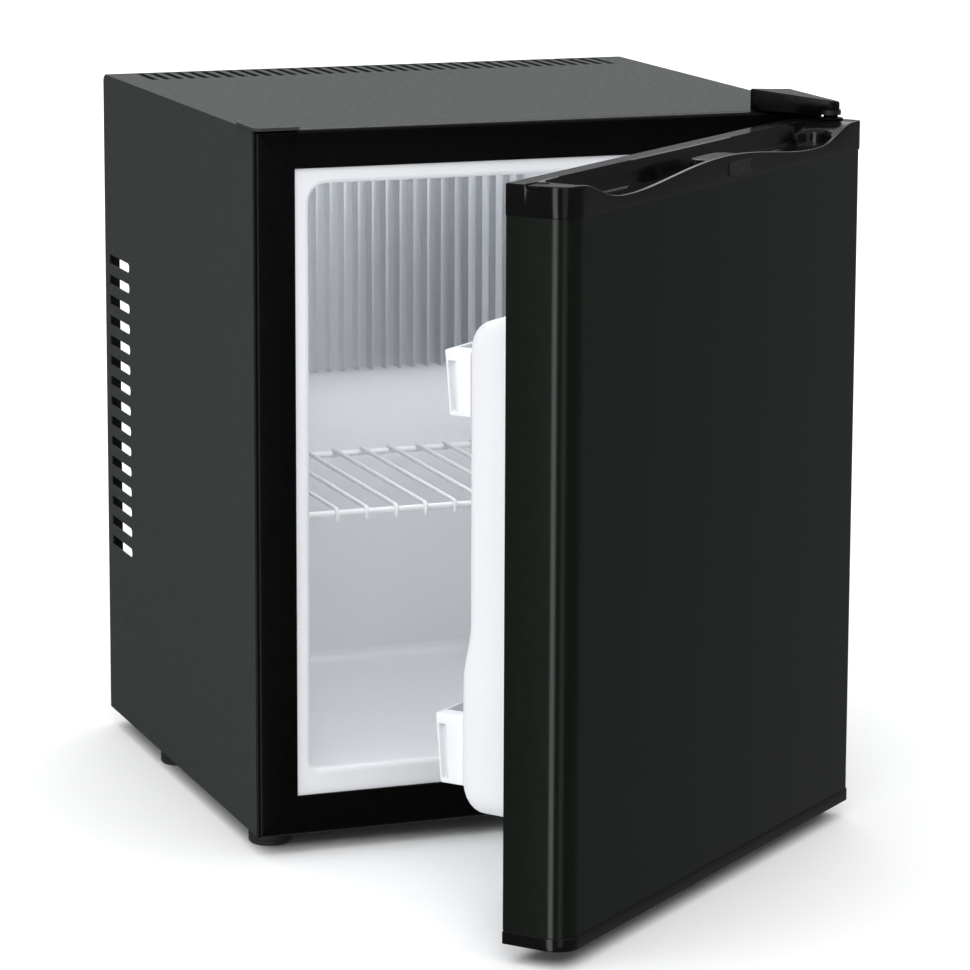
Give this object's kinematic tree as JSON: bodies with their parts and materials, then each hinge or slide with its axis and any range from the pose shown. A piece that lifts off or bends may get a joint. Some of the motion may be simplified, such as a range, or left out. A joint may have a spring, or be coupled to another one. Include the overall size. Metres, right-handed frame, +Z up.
{
  "type": "mini fridge",
  "caption": "Compact hotel-room mini fridge: dark vented cabinet, white tub with a wire shelf, and a hinged black door with grip pockets and two racks.",
  "frame": {"origin": "on the floor, in the middle of the four feet", "axes": "+X across the front towards the hinge side, +Y from the front to the back, +Z up"},
  "size_m": [0.3888, 0.6266, 0.4715],
  "materials": {
    "frame_black": "black semi-gloss coating",
    "body_grey": "dark grey fine-textured powder coat",
    "back_steel": "plain grey coated sheet",
    "rear_black": "satin black powder coat",
    "screw_steel": "zinc-plated steel",
    "hinge_steel": "zinc-plated steel",
    "pin_steel": "ground steel pin",
    "foam": "rigid polyurethane foam",
    "liner_white": "white moulded polystyrene",
    "rubber_black": "black rubber",
    "cap_black": "black glossy ABS",
    "cover_black": "black satin plastic",
    "door_black": "black satin coated steel",
    "alu": "extruded aluminium",
    "ceramic": "white ceramic",
    "fan_black": "black moulded plastic",
    "box_black": "black moulded plastic",
    "contact_brass": "plated brass",
    "lead_black": "black insulation",
    "lens_white": "frosted lens",
    "knob_white": "white plastic",
    "wire_white": "white plastic coated wire",
    "seal_white": "soft white vinyl",
    "rack_white": "white polystyrene",
    "plate_grey": "dark grey blank plate",
    "bush_black": "black acetal",
    "washer_white": "nylon"
  },
  "bodies": {
    "cabinet": {"front_frame": "frame_black", "side_panel_left": "body_grey", "side_panel_right": "body_grey", "top_panel": "body_grey", "base_panel": "body_grey", "back_plate": "back_steel", "rear_cover": "rear_black", "rear_cover_screws": "screw_steel", "cabinet_foam": "foam", "inner_liner": "liner_white", "foot_front_left": "rubber_black", "foot_front_right": "rubber_black", "foot_rear_left": "rubber_black", "foot_rear_right": "rubber_black", "hinge_hole_cover": "body_grey", "upper_hinge_bracket": "hinge_steel", "upper_hinge_pin": "pin_steel", "upper_hinge_screws": "screw_steel", "hinge_cover": "cover_black", "lower_hinge_bracket": "hinge_steel", "lower_hinge_pin": "pin_steel", "lower_hinge_screws": "screw_steel", "hinge_washer": "washer_white", "cold_sink": "alu", "cold_block": "alu", "peltier_module": "ceramic", "hot_sink": "alu", "sink_screws": "screw_steel", "fan_frame": "fan_black", "control_box": "box_black", "power_inlet": "box_black", "inlet_contacts": "contact_brass", "leads": "lead_black", "lamp_housing": "knob_white", "lamp_lens": "lens_white"},
    "door": {"door_panel": "door_black", "door_top_cap": "cap_black", "door_bottom_cap": "cap_black", "badge_plate": "plate_grey", "hinge_hole_plug": "cover_black", "door_foam": "foam", "door_liner": "liner_white", "door_gasket": "seal_white", "upper_door_bush": "bush_black", "lower_door_bush": "bush_black"},
    "upper_rack": {"upper_rack": "rack_white"},
    "lower_rack": {"lower_rack": "rack_white"},
    "shelf": {"wire_shelf": "wire_white"},
    "fan": {"fan_rotor": "fan_black"},
    "knob": {"thermostat_knob": "knob_white"}
  },
  "joints": [
    {"name": "door_hinge", "type": "hinge", "parent": "cabinet", "child": "door", "pos_m": [0.182, -0.162, 0.235], "axis": [0, 0, 1], "range_deg": [-39.5, 80.5]},
    {"name": "upper_rack_lift", "type": "slide", "parent": "door", "child": "upper_rack", "axis": [0, 0, 1], "range_m": [0, 0.012]},
    {"name": "lower_rack_lift", "type": "slide", "parent": "door", "child": "lower_rack", "axis": [0, 0, 1], "range_m": [0, 0.012]},
    {"name": "shelf_slide", "type": "slide", "parent": "cabinet", "child": "shelf", "axis": [0, -1, 0], "range_m": [0, 0.005]},
    {"name": "fan_spin", "type": "hinge", "parent": "cabinet", "child": "fan", "pos_m": [0, 0.206, 0.34], "axis": [0, 1, 0], "continuous": true},
    {"name": "thermostat_turn", "type": "hinge", "parent": "cabinet", "child": "knob", "pos_m": [0.128, -0.054, 0.396], "axis": [1, 0, 0], "range_deg": [0, 270]}
  ]
}
